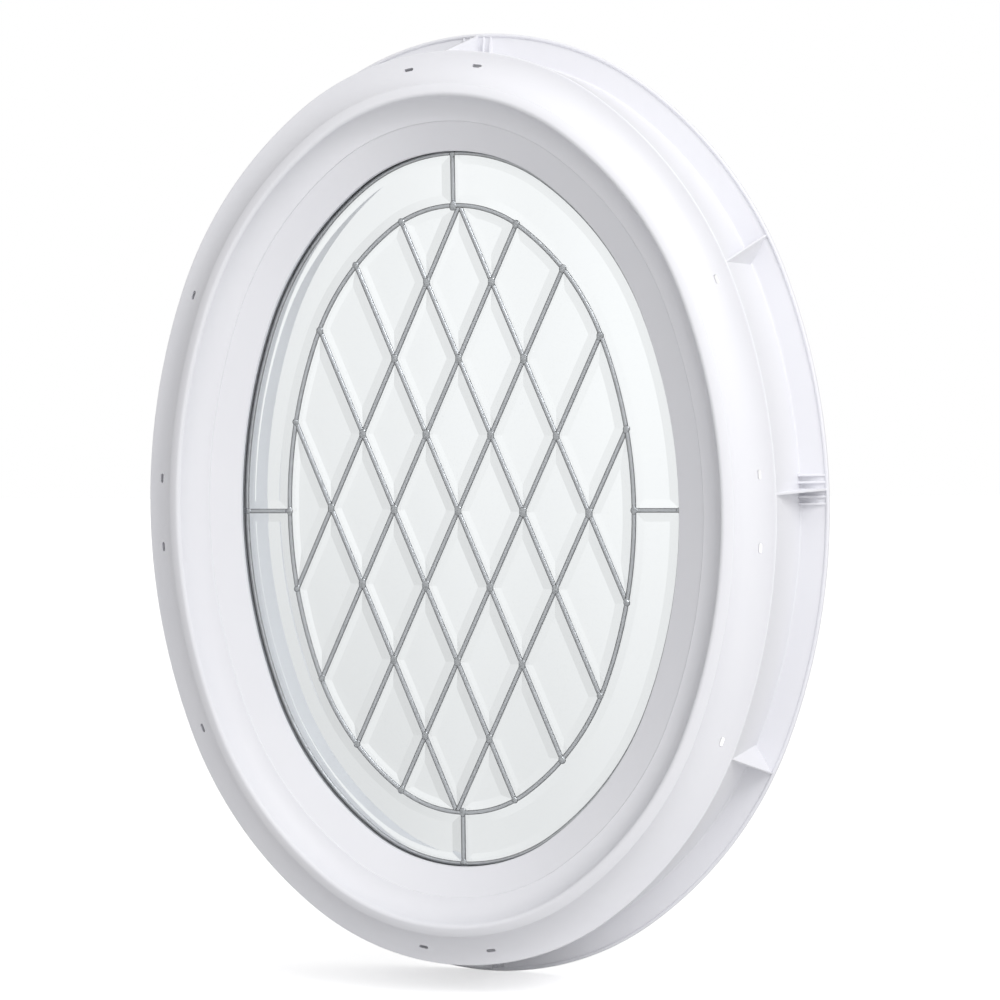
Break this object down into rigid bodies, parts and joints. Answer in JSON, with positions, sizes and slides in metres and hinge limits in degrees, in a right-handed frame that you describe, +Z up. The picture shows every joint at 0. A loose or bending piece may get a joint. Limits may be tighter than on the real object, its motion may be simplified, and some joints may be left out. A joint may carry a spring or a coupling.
{
  "type": "oval picture window",
  "caption": "Fixed oval window: a moulded casing with a nail fin round a sealed unit with a leaded panel of bevelled glass.",
  "frame": {"origin": "middle of the oval, on the plane of the wall that the nail fin lies against", "axes": "+Z up along the long axis, +X to the right seen from outside, -Y out of the wall towards the viewer"},
  "size_m": [0.7506, 0.1619, 1.0208],
  "materials": {
    "white_vinyl": "satin moulded vinyl",
    "clear_pane": "clear float glass",
    "bevelled_glass": "polished bevelled glass",
    "came": "bright zinc came",
    "solder": "smooth solder",
    "sealant": "matt butyl"
  },
  "bodies": {
    "root": {"frame": "white_vinyl", "stop_ring": "white_vinyl", "glazing_tape": "sealant", "outer_pane": "clear_pane", "inner_pane": "clear_pane", "outer_spacer": "sealant", "inner_spacer": "sealant", "border_came": "came", "oval_came": "came", "bars": "came", "rising_came_1": "came", "rising_came_2": "came", "rising_came_3": "came", "rising_came_4": "came", "rising_came_5": "came", "falling_came_1": "came", "falling_came_2": "came", "falling_came_3": "came", "falling_came_4": "came", "falling_came_5": "came", "solder_joints": "solder", "diamond_1_1": "bevelled_glass", "diamond_1_2": "bevelled_glass", "diamond_1_3": "bevelled_glass", "diamond_1_4": "bevelled_glass", "diamond_2_1": "bevelled_glass", "diamond_2_2": "bevelled_glass", "diamond_2_3": "bevelled_glass", "diamond_2_4": "bevelled_glass", "diamond_3_1": "bevelled_glass", "diamond_3_2": "bevelled_glass", "diamond_3_3": "bevelled_glass", "diamond_3_4": "bevelled_glass", "diamond_4_1": "bevelled_glass", "diamond_4_2": "bevelled_glass", "diamond_4_3": "bevelled_glass", "diamond_4_4": "bevelled_glass", "edge_glass_1_0": "bevelled_glass", "edge_glass_2_0": "bevelled_glass", "edge_glass_3_0": "bevelled_glass", "edge_glass_4_0": "bevelled_glass", "edge_glass_1_5": "bevelled_glass", "edge_glass_2_5": "bevelled_glass", "edge_glass_3_5": "bevelled_glass", "edge_glass_4_5": "bevelled_glass", "edge_glass_0_1": "bevelled_glass", "edge_glass_0_2": "bevelled_glass", "edge_glass_0_3": "bevelled_glass", "edge_glass_0_4": "bevelled_glass", "edge_glass_5_1": "bevelled_glass", "edge_glass_5_2": "bevelled_glass", "edge_glass_5_3": "bevelled_glass", "edge_glass_5_4": "bevelled_glass", "left_glass": "bevelled_glass", "right_glass": "bevelled_glass", "border_glass_upper_left": "bevelled_glass", "border_glass_upper_right": "bevelled_glass", "border_glass_lower_left": "bevelled_glass", "border_glass_lower_right": "bevelled_glass"}
  },
  "joints": []
}
